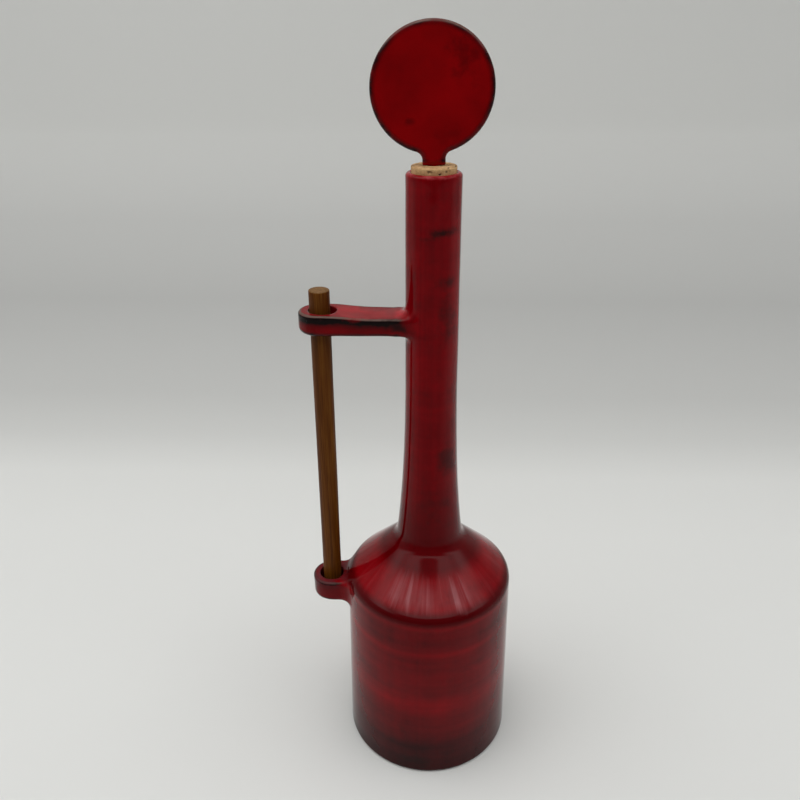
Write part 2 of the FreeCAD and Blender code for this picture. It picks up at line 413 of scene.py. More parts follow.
def round_end(slab, reach, width):
    """Rounds a slab's free end to half its width."""
    def at_end(edge):
        one, other = (point.co for point in edge.verts)
        return abs(one.z - other.z) > 1 * MM and one.x < -reach + hair

    bevel_edges(slab, width * nearly_half, 20, at_end)
    heal(slab, 0.2 * MM)


def round_rim(slab, side, size, root_reach):
    """Rounds a slab's upper rim (side 1) or lower rim (side -1), but not its root."""
    def at_rim(edge):
        facing = sorted(face.normal.z * side for face in edge.link_faces)
        at_root = all(point.co.x > -root_reach - hair for point in edge.verts)
        return len(facing) == 2 and facing[0] < 0.5 and facing[1] > 0.8 and not at_root

    bevel_edges(slab, size, 6, at_rim)


def nearest(tree, point):
    """Distance from a shape, below zero inside it, with the nearest place and its normal."""
    place, normal, _, _ = tree.find_nearest(point)
    offset = point - place
    side = 1 if offset.dot(normal) >= 0 else -1
    return offset.length * side, place, normal


def skin_tree(piece):
    return BVHTree.FromObject(piece, bpy.context.evaluated_depsgraph_get())


def away_from(tree, point):
    """Signed distance to a shape, and the direction straight away from it."""
    distance, place, facing = nearest(tree, point)
    if abs(distance) > 0.2 * MM:
        facing = (point - place) / distance
    return distance, facing.normalized()


def draw_onto(point, one, other, reach):
    """Moves a point onto the skin that wraps two shapes, with a soft fillet where they meet."""
    for _ in range(projection_steps):
        first, along_first = away_from(one, point)
        second, along_second = away_from(other, point)
        share = max(reach - abs(first - second), 0) / reach
        height = min(first, second) - share * share * reach / 4
        if first < second:
            pull = along_first * (1 - share / 2) + along_second * (share / 2)
        else:
            pull = along_second * (1 - share / 2) + along_first * (share / 2)
        point = point - pull * height / max(pull.length_squared, 0.4)
    return point


def softened(piece):
    """The distance tree of an even-grained copy of a piece, which gives a dependable sign."""
    twin = copy_of(piece, piece.name + "_soft")
    even_out(twin, distance_cell, 2)
    tree = skin_tree(twin)
    bpy.data.objects.remove(twin, do_unlink=True)
    return tree


def rooted(form, slab, low, high, reach):
    """Grows a slab out of the clay skin with a soft root and a thin collar that sinks into it."""
    skin = skin_tree(form)
    exact = skin_tree(slab)
    shape = softened(slab)
    chunk = copy_of(form, slab.name + "_rooted")
    combine(chunk, block("window", low, high), "INTERSECT")
    combine(chunk, slab, "UNION")
    even_out(chunk, slab_cell, 3)
    soften_root(chunk, skin, exact, shape, reach)
    sink_collar(chunk, skin, shape, reach)
    return chunk


def soften_root(chunk, skin, exact, shape, reach):
    """Draws the slab onto its exact faces, and the clay near its root onto a soft fillet."""
    zone = chunk.vertex_groups.new(name="root")
    work = start_edit(chunk)
    shares = {}
    for point in work.verts:
        out, place, _ = nearest(skin, point.co)
        off, _, _ = nearest(shape, point.co)
        if out > reach * 1.3:
            point.co = nearest(exact, point.co)[1]
        elif out > -skin_reach and off < reach * 1.1:
            point.co = draw_onto(point.co, skin, shape, reach)
        elif out > -skin_reach:
            point.co = place
        shares[point.index] = 1 - smooth_step(reach * 0.9, reach * 1.4, max(out, off))
    end_edit(chunk)
    for index, share in shares.items():
        zone.add([index], share, "REPLACE")
    apply_modifier(chunk, "SMOOTH", factor=0.5, iterations=root_passes, vertex_group="root")


def sink_collar(chunk, skin, shape, reach):
    """Wavers the free slab, sinks the collar into the skin, and drops what lies beyond it."""
    collar = reach * 1.5
    at_skin = 0.4 * MM
    work = start_edit(chunk)
    gone = []
    for point in work.verts:
        out, place, normal = nearest(skin, point.co)
        off, _, facing = nearest(shape, point.co)
        away = smooth_step(reach * 1.1, reach * 2.0, out)
        dent = 0.5 + 0.5 * noise.noise(point.co / slab_waver_size)
        point.co -= facing * slab_waver * dent * away
        if out < at_skin and off > reach * 0.7:
            dive = smooth_step(reach, collar, off)
            sunk = place + normal * (collar_lift - (collar_depth + collar_lift) * dive)
            point.co = point.co.lerp(sunk, smooth_step(reach * 0.7, reach, off))
            if off > collar:
                gone.append(point)
    bmesh.ops.delete(work, geom=gone, context="VERTS")
    bmesh.update_edit_mesh(chunk.data)
    select_mesh()
    bpy.ops.mesh.fill_holes(sides=0)
    select_mesh()
    bpy.ops.mesh.normals_make_consistent(inside=False)
    if bmesh.from_edit_mesh(chunk.data).calc_volume(signed=True) < 0:
        bpy.ops.mesh.flip_normals()
    end_edit(chunk)


def upper_arm(form):
    root_reach = sqrt(neck_waist_radius ** 2 - (arm_root_width / 2) ** 2) - slab_sink
    slab = slab_from_block("arm", arm_reach, arm_end_width, arm_root_width, root_reach,
                           arm_bottom, arm_top, arm_waist_drop, arm_rim_rounds)
    hole = rod("hole", arm_hole_radius, arm_bottom - tool_overrun, arm_top + tool_overrun,
               (-arm_hole_reach, 0))
    combine(slab, hole, "DIFFERENCE")
    room = 14 * MM
    return rooted(form, slab, (-30 * MM, -20 * MM, arm_bottom - room),
                  (6 * MM, 20 * MM, arm_top + room), arm_root_spread)


def lower_lug(form):
    root_reach = sqrt(shoulder_radius ** 2 - (lug_root_width / 2) ** 2) - slab_sink
    slab = slab_from_block("lug", lug_reach, lug_end_width, lug_root_width, root_reach,
                           lug_bottom, lug_top, 0.0, lug_rim_rounds)
    socket = rod("socket", lug_hole_radius, lug_bottom + lug_floor, lug_top + tool_overrun,
                 (-lug_hole_reach, 0))
    combine(slab, socket, "DIFFERENCE")
    room = 16 * MM
    return rooted(form, slab, (-60 * MM, -30 * MM, lug_bottom - room),
                  (-30 * MM, 30 * MM, lug_top + room), lug_root_spread)


# ---- worn edges ----

def read_rows(source, name, width, kind=float):
    values = np.empty(len(source) * width, dtype=kind)
    source.foreach_get(name, values)
    return values.reshape(-1, width)


def mark_edges(piece, gentle, sharp, passes, quiet):
    """Writes how sharply each point bends outwards, from 0 to 1, as "edge", and the same
    spread wide over the faces that don't look down, as "edge_band"."""
    mesh = piece.data
    count = len(mesh.vertices)
    points = read_rows(mesh.vertices, "co", 3)
    facing = read_rows(mesh.vertex_normals, "vector", 3)
    pairs = read_rows(mesh.edges, "vertices", 2, np.int64)
    one = np.concatenate([pairs[:, 0], pairs[:, 1]])
    other = np.concatenate([pairs[:, 1], pairs[:, 0]])
    degree = np.maximum(np.bincount(one, minlength=count), 1)

    def spread(value, times):
        for _ in range(times):
            around = np.bincount(one, weights=value[other], minlength=count) / degree
            value = (value + around) / 2
        return value

    span = points[one] - points[other]
    length = np.maximum((span ** 2).sum(1), 1e-12)
    bend = 2 * (facing[one] * span).sum(1) / length
    value = spread(np.bincount(one, weights=bend, minlength=count) / degree, passes)
    value = np.clip((value - gentle) / (sharp - gentle), 0, 1) * quiet(points)
    band = spread(value * (facing[:, 2] > -0.1), band_passes)
    for name, amount in (("edge", value), ("edge_band", band)):
        store = mesh.attributes.new(name, "FLOAT", "POINT")
        store.data.foreach_set("value", amount.astype(np.float32))


def only_slabs(points):
    """0 on the wheel-thrown skin and near it, 1 on the arm and the lug, less round their holes."""
    on_arm = points[:, 2] > between_slabs
    skin = np.where(on_arm, neck_waist_radius, shoulder_radius)
    hole = np.where(on_arm, arm_hole_reach, lug_hole_reach)
    out = np.hypot(points[:, 0], points[:, 1]) - skin
    rim = np.hypot(points[:, 0] + hole, points[:, 1]) - arm_hole_radius
    off_skin = np.clip((out - 2.5 * MM) / (3 * MM), 0, 1)
    off_hole = np.clip((rim - 1.5 * MM) / (1 * MM), 0.3, 1)
    return off_skin * off_hole


def only_disc(points):
    """Leaves the stopper's peg and the foot of its stem unmarked."""
    return np.clip((points[:, 2] - cork_top - 1 * MM) / (1.5 * MM), 0, 1)


# ---- the four pieces ----

def glazed_bottle():
    outline = outline_points()
    form = turned_form(outline)
    press_ridges(form)
    parts = [upper_arm(form), lower_lug(form)]
    make_active(form)
    for part in parts:
        part.select_set(True)
    bpy.ops.object.join()
    form.vertex_groups.clear()
    shade_soft(form)
    mark_edges(form, gentle=100.0, sharp=300.0, passes=4, quiet=only_slabs)
    return form


def disc_outline():
    """The stopper's outline from the front: a straight stem that flares into a round disc."""
    flare_steps, disc_steps = 16, 150
    half = stem_width / 2
    aside = half + stem_flare
    rise = disc_rise - sqrt((disc_radius + stem_flare) ** 2 - aside ** 2)
    lean = atan2(disc_rise - rise, aside)
    right = [(half, 0)]
    for step in range(flare_steps + 1):
        turn = pi - lean * step / flare_steps
        right.append((aside + stem_flare * cos(turn), rise + stem_flare * sin(turn)))
    around = []
    for step in range(1, disc_steps):
        turn = -lean + (pi + 2 * lean) * step / disc_steps
        around.append((disc_radius * cos(turn), disc_rise + disc_radius * sin(turn)))
    left = [(-x, z) for x, z in reversed(right)]
    return right + around + left


def disc_stopper():
    """The stopper: a slab-cut disc that flares into a short stem, with its peg."""
    clear_selection()
    line = disc_outline()
    bpy.ops.mesh.primitive_circle_add(vertices=len(line), radius=disc_radius, fill_type="NGON")
    disc = bpy.context.object
    disc.name = "disc_stopper"
    work = start_edit(disc)
    work.verts.ensure_lookup_table()
    for point, (x, z) in zip(work.verts, line):
        point.co = (x, disc_thickness / 2, z)
    bmesh.update_edit_mesh(disc.data)
    select_mesh()
    forward = (0, -disc_thickness, 0)
    bpy.ops.mesh.extrude_region_move(TRANSFORM_OT_translate={"value": forward})
    end_edit(disc)
    heal(disc)
    bevel_edges(disc, disc_rim_round, 8, at_flat_rim)
    plate = skin_tree(disc)
    combine(disc, rod("peg", peg_radius, -peg_length, 2 * MM, sides=48), "UNION")
    even_out(disc, disc_cell, 3)
    waver_rim(disc, plate)
    seat = Matrix.Translation((0, stopper_setback, cork_top))
    disc.data.transform(seat @ Matrix.Rotation(-stopper_lean, 4, "Y"))
    heal(disc, 0.001 * MM)
    shade_soft(disc)
    mark_edges(disc, gentle=20.0, sharp=380.0, passes=12, quiet=only_disc)
    return disc


def waver_rim(disc, plate):
    """Draws the disc back onto its exact faces and makes its hand-cut rim a little uneven."""
    stem_foot = 0.6 * MM
    rim_starts, rim_full = disc_radius - 6 * MM, disc_radius - 1 * MM
    work = start_edit(disc)
    for point in work.verts:
        if point.co.z < stem_foot:
            continue
        point.co = nearest(plate, point.co)[1]
        outward = Vector((point.co.x, 0, point.co.z - disc_rise))
        rim = smooth_step(rim_starts, rim_full, outward.length)
        bearing = atan2(outward.x, outward.z)
        cut = 0.5 + 0.5 * noise_round(bearing, 2, point.co.y / (9 * MM))
        point.co -= outward.normalized() * rim_waver * rim * cut
    end_edit(disc)


def at_flat_rim(edge):
    """Whether an edge lies between a face that looks along Y and one that looks aside."""
    facing = sorted(abs(face.normal.y) for face in edge.link_faces)
    return facing[0] < 0.2 and facing[-1] > 0.8


def pore_at(point):
    """How deep an open pore of the bark is at a place on the cork, from 0 to 1."""
    where = Vector((point.x / (1.6 * MM), point.y / (2.6 * MM), point.z / (1.3 * MM)))
    return smooth_step(0.30, 0.50, noise.noise(where + Vector((7, 3, 5))))


def natural_cork():
    """The cork: tapered, soft at its rim, with the open pores of bark."""
    clear_selection()
    bpy.ops.mesh.primitive_cone_add(
        vertices=96, radius1=cork_bottom_radius, radius2=cork_top_radius,
        depth=cork_length, location=(0, 0, cork_top - cork_length / 2)
    )
    cork = just_made("natural_cork")
    bevel_edges(cork, cork_rim_round, 3, at_end_rim)
    hole = rod("peg_hole", peg_hole_radius, cork_top - peg_hole_depth, cork_top + 1 * MM,
               (0, stopper_setback), sides=48)
    combine(cork, hole, "DIFFERENCE")
    even_out(cork, cork_cell, 2)
    work = start_edit(cork)
    work.normal_update()
    for point in work.verts:
        grain = 0.05 * MM * (1 + noise.noise(point.co / (1.6 * MM)))
        point.co -= point.normal * (grain + pore_depth * pore_at(point.co))
    end_edit(cork)
    shade_soft(cork)
    store = cork.data.attributes.new("edge", "FLOAT", "POINT")
    store.data.foreach_set("value", [pore_at(point.co) for point in cork.data.vertices])
    return cork


def grip_dowel():
    """The grip: a straight rod, lightly chamfered, that leans in both holes."""
    foot_height = lug_bottom + lug_floor + dowel_foot_gap
    foot = bearing_point(lug_hole_reach, lug_hole_radius, dowel_foot_bearing, foot_height)
    rest = bearing_point(arm_hole_reach, arm_hole_radius, dowel_rest_bearing, arm_top)
    axis = rest - foot
    length = axis.length * (arm_top + dowel_proud - foot_height) / axis.z
    dowel = rod("grip_dowel", dowel_radius, 0, length, sides=72)
    bevel_edges(dowel, dowel_chamfer, 2, at_end_rim)
    start_edit(dowel, "EDGE")
    for step in range(1, int(length / dowel_strip)):
        select_mesh()
        bpy.ops.mesh.bisect(plane_co=(0, 0, step * dowel_strip), plane_no=(0, 0, 1))
    for inset in (0.8, 1.6, 1.6):
        work = bmesh.from_edit_mesh(dowel.data)
        for face in work.faces:
            face.select = abs(face.normal.z) > 0.9 and len(face.verts) > 8
        bmesh.update_edit_mesh(dowel.data)
        bpy.ops.mesh.inset(thickness=inset * MM, depth=0)
    work = bmesh.from_edit_mesh(dowel.data)
    for point in work.verts:
        bearing = atan2(point.co.y, point.co.x)
        wave = noise_round(bearing, 2.2, point.co.z / (30 * MM)) - 1
        draw = dowel_waver * wave / dowel_radius
        point.co.x *= 1 + draw
        point.co.y *= 1 + draw
    end_edit(dowel)
    turn = Vector((0, 0, 1)).rotation_difference(axis).to_matrix().to_4x4()
    dowel.data.transform(Matrix.Translation(foot) @ turn)
    make_active(dowel)
    bpy.ops.object.shade_smooth_by_angle(angle=radians(32))
    return dowel


def bearing_point(reach, hole_radius, bearing, height):
    """Where the dowel's axis passes when its side lies against a hole's wall at one bearing."""
    shift = hole_radius - dowel_radius - dowel_side_gap
    turn = radians(bearing)
    return Vector((-reach + shift * cos(turn), shift * sin(turn), height))


# ---- node helpers ----

def node(tree, kind, **values):
    """A shader node with its plain properties and its unlinked inputs set."""
    made = tree.nodes.new(kind)
    for name, value in values.items():
        if name in made.inputs:
            made.inputs[name].default_value = value
        else:
            setattr(made, name, value)
    return made


def link(tree, source, target):
    tree.links.new(source, target)


def ramp(tree, source, stops, ease=False):
    """A colour ramp from (place, colour) stops; a plain number stands for a grey."""
    made = node(tree, "ShaderNodeValToRGB")
    link(tree, source, made.inputs[0])
    made.color_ramp.interpolation = "EASE" if ease else "LINEAR"
    points = made.color_ramp.elements
    while len(points) < len(stops):
        points.new(0.5)
    for point, (place, colour) in zip(points, stops):
        shade = (colour,) * 3 if isinstance(colour, (int, float)) else colour
        point.position = place
        point.color = (*shade, 1)
    return made.outputs[0]


def height_ramp(tree, height, span, stops):
    """A ramp up the bottle, whose span and stops are given in millimetres."""
    along = math_node(tree, "MULTIPLY", height, 1 / (span * MM))
    return ramp(tree, along, [(place / span, value) for place, value in stops])


def math_node(tree, operation, first, second=0.0, clamp=False):
    made = node(tree, "ShaderNodeMath", operation=operation, use_clamp=clamp)
    for slot, value in ((0, first), (1, second)):
        if isinstance(value, (int, float)):
            made.inputs[slot].default_value = value
        else:
            link(tree, value, made.inputs[slot])
    return made.outputs[0]


def total(tree, *parts):
    made = parts[0]
    for part in parts[1:]:
        made = math_node(tree, "ADD", made, part)
    return made


def product(tree, *parts):
    made = parts[0]
    for part in parts[1:]:
        made = math_node(tree, "MULTIPLY", made, part)
    return made


def centred(tree, pattern, amount):
    """A pattern's swing about its middle, times an amount."""
    return product(tree, math_node(tree, "SUBTRACT", pattern, 0.5), amount)


def vector_node(tree, operation, *sources):
    made = node(tree, "ShaderNodeVectorMath", operation=operation)
    for slot, source in zip(made.inputs, sources):
        link(tree, source, slot)
    return made.outputs


def split(tree, source):
    """The outputs X, Y and Z of a vector."""
    made = node(tree, "ShaderNodeSeparateXYZ")
    link(tree, source, made.inputs[0])
    return made.outputs


def blend_colour(tree, amount, first, second):
    made = node(tree, "ShaderNodeMix", data_type="RGBA")
    for slot, value in ((0, amount), (6, first), (7, second)):
        if isinstance(value, tuple):
            made.inputs[slot].default_value = (*value, 1)
        else:
            link(tree, value, made.inputs[slot])
    return made.outputs[2]


def object_point(tree, scale=(1, 1, 1), place=(0, 0, 0)):
    """Object coordinates, scaled and moved for one pattern."""
    where = node(tree, "ShaderNodeTexCoord")
    mapping = node(tree, "ShaderNodeMapping", Scale=scale, Location=place)
    link(tree, where.outputs["Object"], mapping.inputs["Vector"])
    return mapping.outputs[0]


def upward_facing(tree):
    """How far a surface looks up, from -1 to 1."""
    return split(tree, node(tree, "ShaderNodeNewGeometry").outputs["Normal"])["Z"]


def attribute(tree, name):
    return node(tree, "ShaderNodeAttribute", attribute_name=name).outputs["Fac"]


def cloud(tree, point, scale, detail=3.0, roughness=0.55, distortion=0.0):
    made = node(tree, "ShaderNodeTexNoise", Scale=scale, Detail=detail,
                Roughness=roughness, Distortion=distortion)
    link(tree, point, made.inputs["Vector"])
    return made.outputs["Fac"]


def add_bump(tree, shader, height, strength, distance):
    bump = node(tree, "ShaderNodeBump", Strength=strength, Distance=distance)
    link(tree, height, bump.inputs["Height"])
    link(tree, bump.outputs["Normal"], shader.inputs["Normal"])


def set_inputs(made, values):
    for label, value in values.items():
        made.inputs[label].default_value = value


def new_material(name, values):
    material = bpy.data.materials.new(name)
    material.use_nodes = True
    tree = material.node_tree
    shader = tree.nodes["Principled BSDF"]
    set_inputs(shader, values)
    return material, tree, shader


def group_with(name, inputs, outputs):
    """An empty shader group, with the sockets that give its inputs and take its outputs."""
    tree = bpy.data.node_groups.new(name, "ShaderNodeTree")
    for label, kind, value in inputs:
        socket = tree.interface.new_socket(label, in_out="INPUT", socket_type=kind)
        socket.default_value = value
    for label, kind in outputs:
        tree.interface.new_socket(label, in_out="OUTPUT", socket_type=kind)
    return tree, node(tree, "NodeGroupInput").outputs, node(tree, "NodeGroupOutput").inputs


def place_group(tree, group, values):
    made = node(tree, "ShaderNodeGroup", node_tree=group)
    set_inputs(made, values)
    return made.outputs


# ---- glaze ----

# Strengths up the wall, each at a height in millimetres.
neck_warmth = [(176, 0.0), (248, 1.0)]
# Dark rings: painted shade, where the shoulder's round and the cone below the neck mirror the dark
# room and the neck.
painted_shade_rings = [(117, 0.0), (120, 1.0), (124, 1.0), (126.4, 0.0),
              (137, 0.0), (142, 0.9), (160, 0.6), (180, 0.0)]
# Bright rings: painted highlight bands round the body and at the shoulder's edge, partly the
# wheel's banding.
painted_highlight_rings = [(46, 0.0), (54, 0.30), (58.4, 0.5), (65, 0.0), (94, 0.0),
                (97.4, 0.75), (101, 0.0), (114.6, 0.0), (116.6, 0.7), (119.2, 0.0)]
dark_foot = [(0, 1.0), (25, 0.62), (55, 0.0)]


def glaze_group():
    """Red glaze: soft clouds, wheel bands, a dark foot and breaks on the edges, with painted
    light: a painted reflection streaked like milky runs, painted highlight and shade rings,
    painted light on what looks up, and a partly painted highlight on the edges' crests.
    """
    colour, number = "NodeSocketColor", "NodeSocketFloat"
    tree, given, out = group_with("red_glaze", [
        ("Deep", colour, (0.10, 0.0, 0.001, 1)),
        ("Bright", colour, (0.45, 0.0, 0.004, 1)),
        ("Break", colour, (0.014, 0.008, 0.006, 1)),
        ("Crest", colour, (0.13, 0.075, 0.06, 1)),
        ("Pooled And Lit", colour, (0.55, 0.0, 0.006, 1)),
        ("Milky Sheen", colour, (0.40, 0.15, 0.15, 1)),
        ("Clouds", number, 0.6),
        ("Mottle", number, 0.3),
    ] + [(label, number, 0.0) for label in (
        "Bands", "Runs", "Pooling And Top Light", "Milky Sheen Amount", "Smudges", "Dark Foot", "Painted Banding", "Wear",
        "Neck Warmth",
    )], [("Color", colour), ("Roughness", number), ("Height", number)])
    height = split(tree, object_point(tree))["Z"]
    around = vector_node(tree, "NORMALIZE", object_point(tree, scale=(1, 1, 0)))["Vector"]
    upward = upward_facing(tree)
    clouds = cloud(tree, object_point(tree), 30.0, 3.0)
    mottle = cloud(tree, object_point(tree, place=(0.3, 0.1, 0.7)), 170.0, 4.0, 0.6)
    bands = cloud(tree, object_point(tree, scale=(0.10, 0.10, 1.0)), 62.0, 2.0, 0.5)
    tone = glaze_tone(tree, given, height, around, clouds, mottle, bands)
    body = blend_colour(tree, tone, given["Deep"], given["Bright"])
    warmth = height_ramp(tree, height, 400, neck_warmth)
    # Painted highlight rings up the body.
    ring_highlight = height_ramp(tree, height, 200, painted_highlight_rings)
    for mask, amount, tint in (
        (product(tree, warmth, tone), "Neck Warmth", "Pooled And Lit"),
        # Painted light from above, with pooled glaze.
        (pooled_glaze_and_top_light(tree, height, upward, tone), "Pooling And Top Light", "Pooled And Lit"),
        # Painted shade rings, then painted highlight rings.
        (height_ramp(tree, height, 200, painted_shade_rings), "Painted Banding", "Deep"),
        (product(tree, ring_highlight, clouds, 1.1), "Painted Banding", "Pooled And Lit"),
        # A painted reflection on the front of the shoulder.
        (milky_sheen_runs(tree, height, around), "Milky Sheen Amount", "Milky Sheen"),
        (smudges(tree), "Smudges", "Break"),
        (height_ramp(tree, height, 100, dark_foot), "Dark Foot", "Break"),
    ):
        body = blend_colour(tree, product(tree, mask, given[amount]), body, given[tint])
    worn, crest = worn_edges(tree, given, height, upward, mottle)
    body = blend_colour(tree, worn, body, given["Break"])
    # Pale crest, partly a painted highlight.
    body = blend_colour(tree, crest, body, given["Crest"])
    link(tree, body, out["Color"])
    link(tree, total(tree, product(tree, worn, 0.10), 0.06), out["Roughness"])
    link(tree, total(tree, product(tree, clouds, 0.6), product(tree, bands, 0.4)), out["Height"])
    return tree


def glaze_tone(tree, given, height, around, clouds, mottle, bands):
    """Where the glaze lies between its deep colour, 0, and its bright one, 1."""
    thrown = height_ramp(tree, height, 200, [(104, 1.0), (124, 0.35)])
    thrown = product(tree, thrown, given["Bands"])
    where = object_point(tree, scale=(0.06, 0.06, 1.0), place=(0, 0, 0.9))
    fine_bands = cloud(tree, where, 260.0, 2.0)
    runs = cloud(tree, around, 7.5, 5.0, 0.7)
    tone = total(tree, centred(tree, clouds, given["Clouds"]),
                 centred(tree, mottle, given["Mottle"]),
                 centred(tree, bands, thrown),
                 centred(tree, fine_bands, product(tree, thrown, 0.45)),
                 centred(tree, runs, given["Runs"]), 0.5)
    return ramp(tree, tone, [(0.30, 0.0), (0.70, 1.0)])


def pooled_glaze_and_top_light(tree, height, upward, tone):
    """Thicker, brighter glaze on what looks up, above the lug, which is partly painted light from
    above.
    """
    pool = ramp(tree, upward, [(0.25, 0.0), (0.85, 1.0)])
    uneven = math_node(tree, "ADD", tone, 0.25, clamp=True)
    above_lug = height_ramp(tree, height, 200, [(120, 0.0), (124, 1.0)])
    return product(tree, pool, uneven, above_lug)


def milky_sheen_runs(tree, height, around):
    """Pale runs down the front of the shoulder, frayed at both ends: a painted reflection of the
    light high in front, streaked like milky glaze.
    """
    streaks = cloud(tree, around, 6.5, 3.0, 0.5, 0.5)
    streaks = ramp(tree, streaks, [(0.40, 0.10), (0.54, 0.40), (0.63, 1.0)])
    frayed = total(tree, height, centred(tree, cloud(tree, around, 14.0, 2.0), 12 * MM))
    on_cone = height_ramp(tree, frayed, 200, [
        (124.4, 0.0), (129, 1.0), (134.4, 0.8), (140, 0.0),
    ])
    forward = product(tree, split(tree, around)["Y"], -1.0)
    in_front = ramp(tree, forward, [(0.72, 0.10), (0.90, 1.0)], ease=True)
    return product(tree, streaks, on_cone, in_front)


def smudges(tree):
    where = object_point(tree, scale=(1, 1, 0.8), place=(0.02, 0.4, 0.11))
    smudge = cloud(tree, where, 62.0, 5.0, 0.62, 0.6)
    return ramp(tree, smudge, [(0.58, 0.0), (0.72, 1.0)])


def worn_edges(tree, given, height, upward, mottle):
    """Where the glaze drew off the edges: the dark break, and the paler crest on top of it, which
    is partly a painted highlight.
    """
    edge = attribute(tree, "edge")
    band = attribute(tree, "edge_band")
    ragged = math_node(tree, "ADD", product(tree, mottle, 2.4), -0.5, clamp=True)
    on_side = ramp(tree, upward, [(0.35, 1.0), (0.80, 0.25)])
    shadow = product(tree, band, total(tree, product(tree, ragged, 0.7), 0.6))
    shadow = product(tree, ramp(tree, shadow, [(0.02, 0.0), (0.22, 1.0)]), on_side,
                     height_ramp(tree, height, 400, [(160, 0.40), (240, 1.0)]))
    thin = product(tree, edge, total(tree, ragged, 0.4))
    worn = math_node(tree, "MAXIMUM", product(tree, shadow, given["Wear"]),
                     ramp(tree, thin, [(0.06, 0.0), (0.70, 1.0)]))
    # The crest: thin glaze on the upper edges, and partly a painted highlight along them.
    crest = math_node(tree, "MULTIPLY", product(tree, edge, ragged), 1.6, clamp=True)
    crest = product(tree, crest, ramp(tree, upward, [(0.42, 0.0), (0.60, 1.0)]),
                    height_ramp(tree, height, 400, [(160, 0.45), (240, 1.0)]))
    return worn, crest


def patch_group():
    """A soft, frayed patch at one place on the glaze, as a mask."""
    vector, number = "NodeSocketVector", "NodeSocketFloat"
    tree, given, out = group_with("glaze_patch", [
        ("Centre", vector, (0, 0, 0)),
        ("Half Size", vector, (0.01, 0.01, 0.01)),
        ("Strength", number, 0.5),
    ], [("Mask", number)])
    point = object_point(tree)
    offset = vector_node(tree, "SUBTRACT", point, given["Centre"])["Vector"]
    scaled = vector_node(tree, "DIVIDE", offset, given["Half Size"])["Vector"]
    away = vector_node(tree, "LENGTH", scaled)["Value"]
    frayed = total(tree, away, centred(tree, cloud(tree, point, 110.0, 4.0, 0.65), 2.6))
    mask = ramp(tree, frayed, [(0.10, 1.0), (1.0, 0.0)], ease=True)
    link(tree, product(tree, mask, given["Strength"]), out["Mask"])
    return tree


def glaze_material(name, group, values, patch, patches):
    """A glaze with its own values and its patches: centre and half size in millimetres,
    strength and colour."""
    material, tree, shader = new_material(name, {"IOR": 1.21})
    finish = place_group(tree, group, values)
    colour = finish["Color"]
    for centre, half_size, strength, tint in patches:
        mask = place_group(tree, patch, {
            "Centre": [value * MM for value in centre],
            "Half Size": [value * MM for value in half_size],
            "Strength": strength,
        })["Mask"]
        colour = blend_colour(tree, mask, colour, tint)
    link(tree, colour, shader.inputs["Base Color"])
    link(tree, finish["Roughness"], shader.inputs["Roughness"])
    add_bump(tree, shader, finish["Height"], 0.10, 0.4 * MM)
    return material


# ---- wood and cork ----

def wood_material():
    """Oiled brown dowel: fine long grain, and paler end grain."""
    material, tree, shader = new_material(
        "oiled_dowel_wood", {"Roughness": 0.5, "Specular IOR Level": 0.12})
    long_grain = cloud(tree, object_point(tree, scale=(1, 1, 0.016)), 1500.0, 4.0, 0.65)
    broad = cloud(tree, object_point(tree, scale=(1, 1, 0.05)), 260.0, 3.0, 0.5)
    tone = total(tree, product(tree, long_grain, 0.6), product(tree, broad, 0.4))
    wood = ramp(tree, tone, [
        (0.32, (0.045, 0.012, 0.001)), (0.50, (0.120, 0.034, 0.0015)),
        (0.70, (0.220, 0.085, 0.010)),
    ])
    rings = cloud(tree, object_point(tree), 900.0, 3.0, 0.6)
    paler = ramp(tree, rings, [(0.35, (0.12, 0.055, 0.015)), (0.65, (0.225, 0.115, 0.038))])
    end_grain = ramp(tree, upward_facing(tree), [(0.55, 0.0), (0.9, 1.0)])
    link(tree, blend_colour(tree, end_grain, wood, paler), shader.inputs["Base Color"])
    add_bump(tree, shader, long_grain, 0.35, 0.12 * MM)
    return material


def cork_material():
    """Cork: fine cells on a broader grain, dark in its open pores."""
    material, tree, shader = new_material("natural_cork", {"Roughness": 0.85})
    grain = cloud(tree, object_point(tree), 420.0, 5.0, 0.7)
    cells = cloud(tree, object_point(tree, place=(0.2, 0.5, 0.1)), 1500.0, 3.0, 0.6)
    tone = total(tree, product(tree, grain, 0.65), product(tree, cells, 0.35))
    colour = ramp(tree, tone, [
        (0.34, (0.16, 0.07, 0.025)), (0.41, (0.50, 0.29, 0.12)),
        (0.58, (0.68, 0.44, 0.21)), (0.75, (0.78, 0.56, 0.31)),
    ])
    colour = blend_colour(tree, attribute(tree, "edge"), colour, (0.055, 0.020, 0.008))
    link(tree, colour, shader.inputs["Base Color"])
    add_bump(tree, shader, tone, 0.6, 0.25 * MM)
    return material


# ---- stage, light, camera ----

floor_near = -1.6
sweep_start = 0.42
sweep_radius = 0.30
sweep_steps = 24
wall_top = 1.5
stage_half_width = 1.9
# Painted light on the sheet: its level along it, dim on the near floor, brightest round the
# bottle, dimmer in the sweep and brighter up the backdrop.
sheet_levels = (
    (0.18, 0.40), (0.30, 0.41), (0.44, 0.71), (0.60, 0.71), (0.65, 0.69),
    (0.69, 0.60), (0.74, 0.54), (0.85, 0.52), (0.93, 0.66), (1.0, 0.88),
)
sheet_tint = (1.0, 1.006, 0.978)
backdrop_colour = (0.72, 0.725, 0.71)
lamp_place = (-0.38, 0.0, 1.20)
lamp_aim = (0, 0, 0.1)
lamp_size = 0.7
lamp_power = 2.0
camera_place = (0.0, -0.38487, 0.43240)
camera_pan = 0.0449
camera_tilt = 0.4662
camera_roll = -0.0071
camera_lens = 34.794


